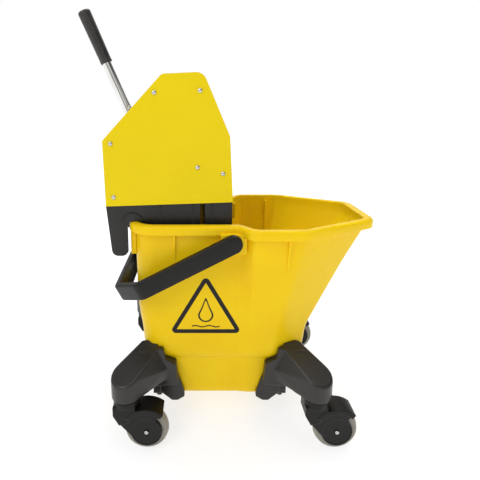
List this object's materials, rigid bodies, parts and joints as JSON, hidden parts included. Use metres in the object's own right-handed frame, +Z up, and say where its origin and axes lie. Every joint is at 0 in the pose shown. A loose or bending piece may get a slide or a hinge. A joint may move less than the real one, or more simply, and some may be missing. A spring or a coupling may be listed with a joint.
{
  "type": "mop bucket with wringer",
  "caption": "Wheeled stepped-plan mop bucket with pouring spout, carrying bail and a lever-worked side-plated press wringer hooked over its rear rim.",
  "frame": {"origin": "centre of the bounding box in plan, on the floor under the tyres", "axes": "+X toward the pouring spout, +Y toward the far side in the picture, +Z up"},
  "size_m": [0.638, 0.421, 0.9126],
  "materials": {
    "yellow_moulding": "semi-gloss golden yellow moulding",
    "yellow_sheet": "semi-gloss lemon yellow sheet",
    "black_plastic": "satin black moulding",
    "grey_tyre": "warm grey rubber tyre",
    "black_rubber": "black ribbed grip rubber",
    "chrome": "polished chrome tube",
    "steel": "bright zinc-plated steel"
  },
  "bodies": {
    "bucket": {"bucket": "yellow_moulding", "bail_pin_near": "black_plastic", "bail_pin_far": "black_plastic", "rear_yoke": "black_plastic", "front_yoke": "black_plastic", "press_body": "black_plastic", "front_grille": "black_plastic", "jaw_shaft": "steel", "lever_shaft": "steel", "cover_near": "yellow_sheet", "cover_far": "yellow_sheet", "lever_spring_near": "steel", "lever_spring_far": "steel", "tie_rod_rear": "steel", "tie_rod_front": "steel", "tie_tube_rear": "steel", "tie_tube_front": "steel", "rivet_mid_near": "steel", "rivet_low_near": "steel", "rivet_pivot_near": "steel", "rivet_front_near": "steel", "yoke_bolt_rear_near": "steel", "yoke_bolt_front_near": "steel", "rivet_mid_far": "steel", "rivet_low_far": "steel", "rivet_pivot_far": "steel", "rivet_front_far": "steel", "yoke_bolt_rear_far": "steel", "yoke_bolt_front_far": "steel"},
    "lever": {"lever_hub": "black_plastic", "lever_tube": "chrome", "lever_grip": "black_rubber", "drive_pin": "steel"},
    "jaw": {"jaw": "black_plastic"},
    "bail": {"bail": "black_plastic"},
    "castor_rear_near": {"stem_rear_near": "steel", "fork_rear_near": "black_plastic", "axle_rear_near": "steel"},
    "wheel_rear_near": {"hub_rear_near": "black_plastic", "tyre_rear_near": "grey_tyre"},
    "castor_rear_far": {"stem_rear_far": "steel", "fork_rear_far": "black_plastic", "axle_rear_far": "steel"},
    "wheel_rear_far": {"hub_rear_far": "black_plastic", "tyre_rear_far": "grey_tyre"},
    "castor_front_near": {"stem_front_near": "steel", "fork_front_near": "black_plastic", "axle_front_near": "steel"},
    "wheel_front_near": {"hub_front_near": "black_plastic", "tyre_front_near": "grey_tyre"},
    "castor_front_far": {"stem_front_far": "steel", "fork_front_far": "black_plastic", "axle_front_far": "steel"},
    "wheel_front_far": {"hub_front_far": "black_plastic", "tyre_front_far": "grey_tyre"}
  },
  "joints": [
    {"name": "lever_hinge", "type": "hinge", "parent": "bucket", "child": "lever", "pos_m": [-0.168, 0, 0.575], "axis": [0, -1, 0], "range_deg": [0, 70], "stiffness_Nm_per_rad": 1.2, "springref_deg": -28.65},
    {"name": "jaw_hinge", "type": "hinge", "parent": "bucket", "child": "jaw", "pos_m": [-0.11, 0, 0.362], "axis": [0, 1, 0], "range_deg": [0, 21.8]},
    {"name": "bail_hinge", "type": "hinge", "parent": "bucket", "child": "bail", "pos_m": [0.005, 0, 0.4446], "axis": [0, 1, 0], "range_deg": [0, 20]},
    {"name": "swivel_rear_near", "type": "hinge", "parent": "bucket", "child": "castor_rear_near", "pos_m": [-0.2145, -0.18, 0.12], "axis": [0, 0, 1], "continuous": true},
    {"name": "roll_rear_near", "type": "hinge", "parent": "castor_rear_near", "child": "wheel_rear_near", "pos_m": [-0.1725, -0.18, 0.0462], "axis": [0, 1, 0], "continuous": true},
    {"name": "swivel_rear_far", "type": "hinge", "parent": "bucket", "child": "castor_rear_far", "pos_m": [-0.2145, 0.18, 0.12], "axis": [0, 0, 1], "continuous": true},
    {"name": "roll_rear_far", "type": "hinge", "parent": "castor_rear_far", "child": "wheel_rear_far", "pos_m": [-0.1725, 0.18, 0.0462], "axis": [0, 1, 0], "continuous": true},
    {"name": "swivel_front_near", "type": "hinge", "parent": "bucket", "child": "castor_front_near", "pos_m": [0.1825, -0.18, 0.12], "axis": [0, 0, 1], "continuous": true},
    {"name": "roll_front_near", "type": "hinge", "parent": "castor_front_near", "child": "wheel_front_near", "pos_m": [0.2245, -0.18, 0.0462], "axis": [0, 1, 0], "continuous": true},
    {"name": "swivel_front_far", "type": "hinge", "parent": "bucket", "child": "castor_front_far", "pos_m": [0.1825, 0.18, 0.12], "axis": [0, 0, 1], "continuous": true},
    {"name": "roll_front_far", "type": "hinge", "parent": "castor_front_far", "child": "wheel_front_far", "pos_m": [0.2245, 0.18, 0.0462], "axis": [0, 1, 0], "continuous": true}
  ],
  "couplings": [
    {"joint": "jaw_hinge", "follows": "lever_hinge", "ratio": 0.31}
  ]
}
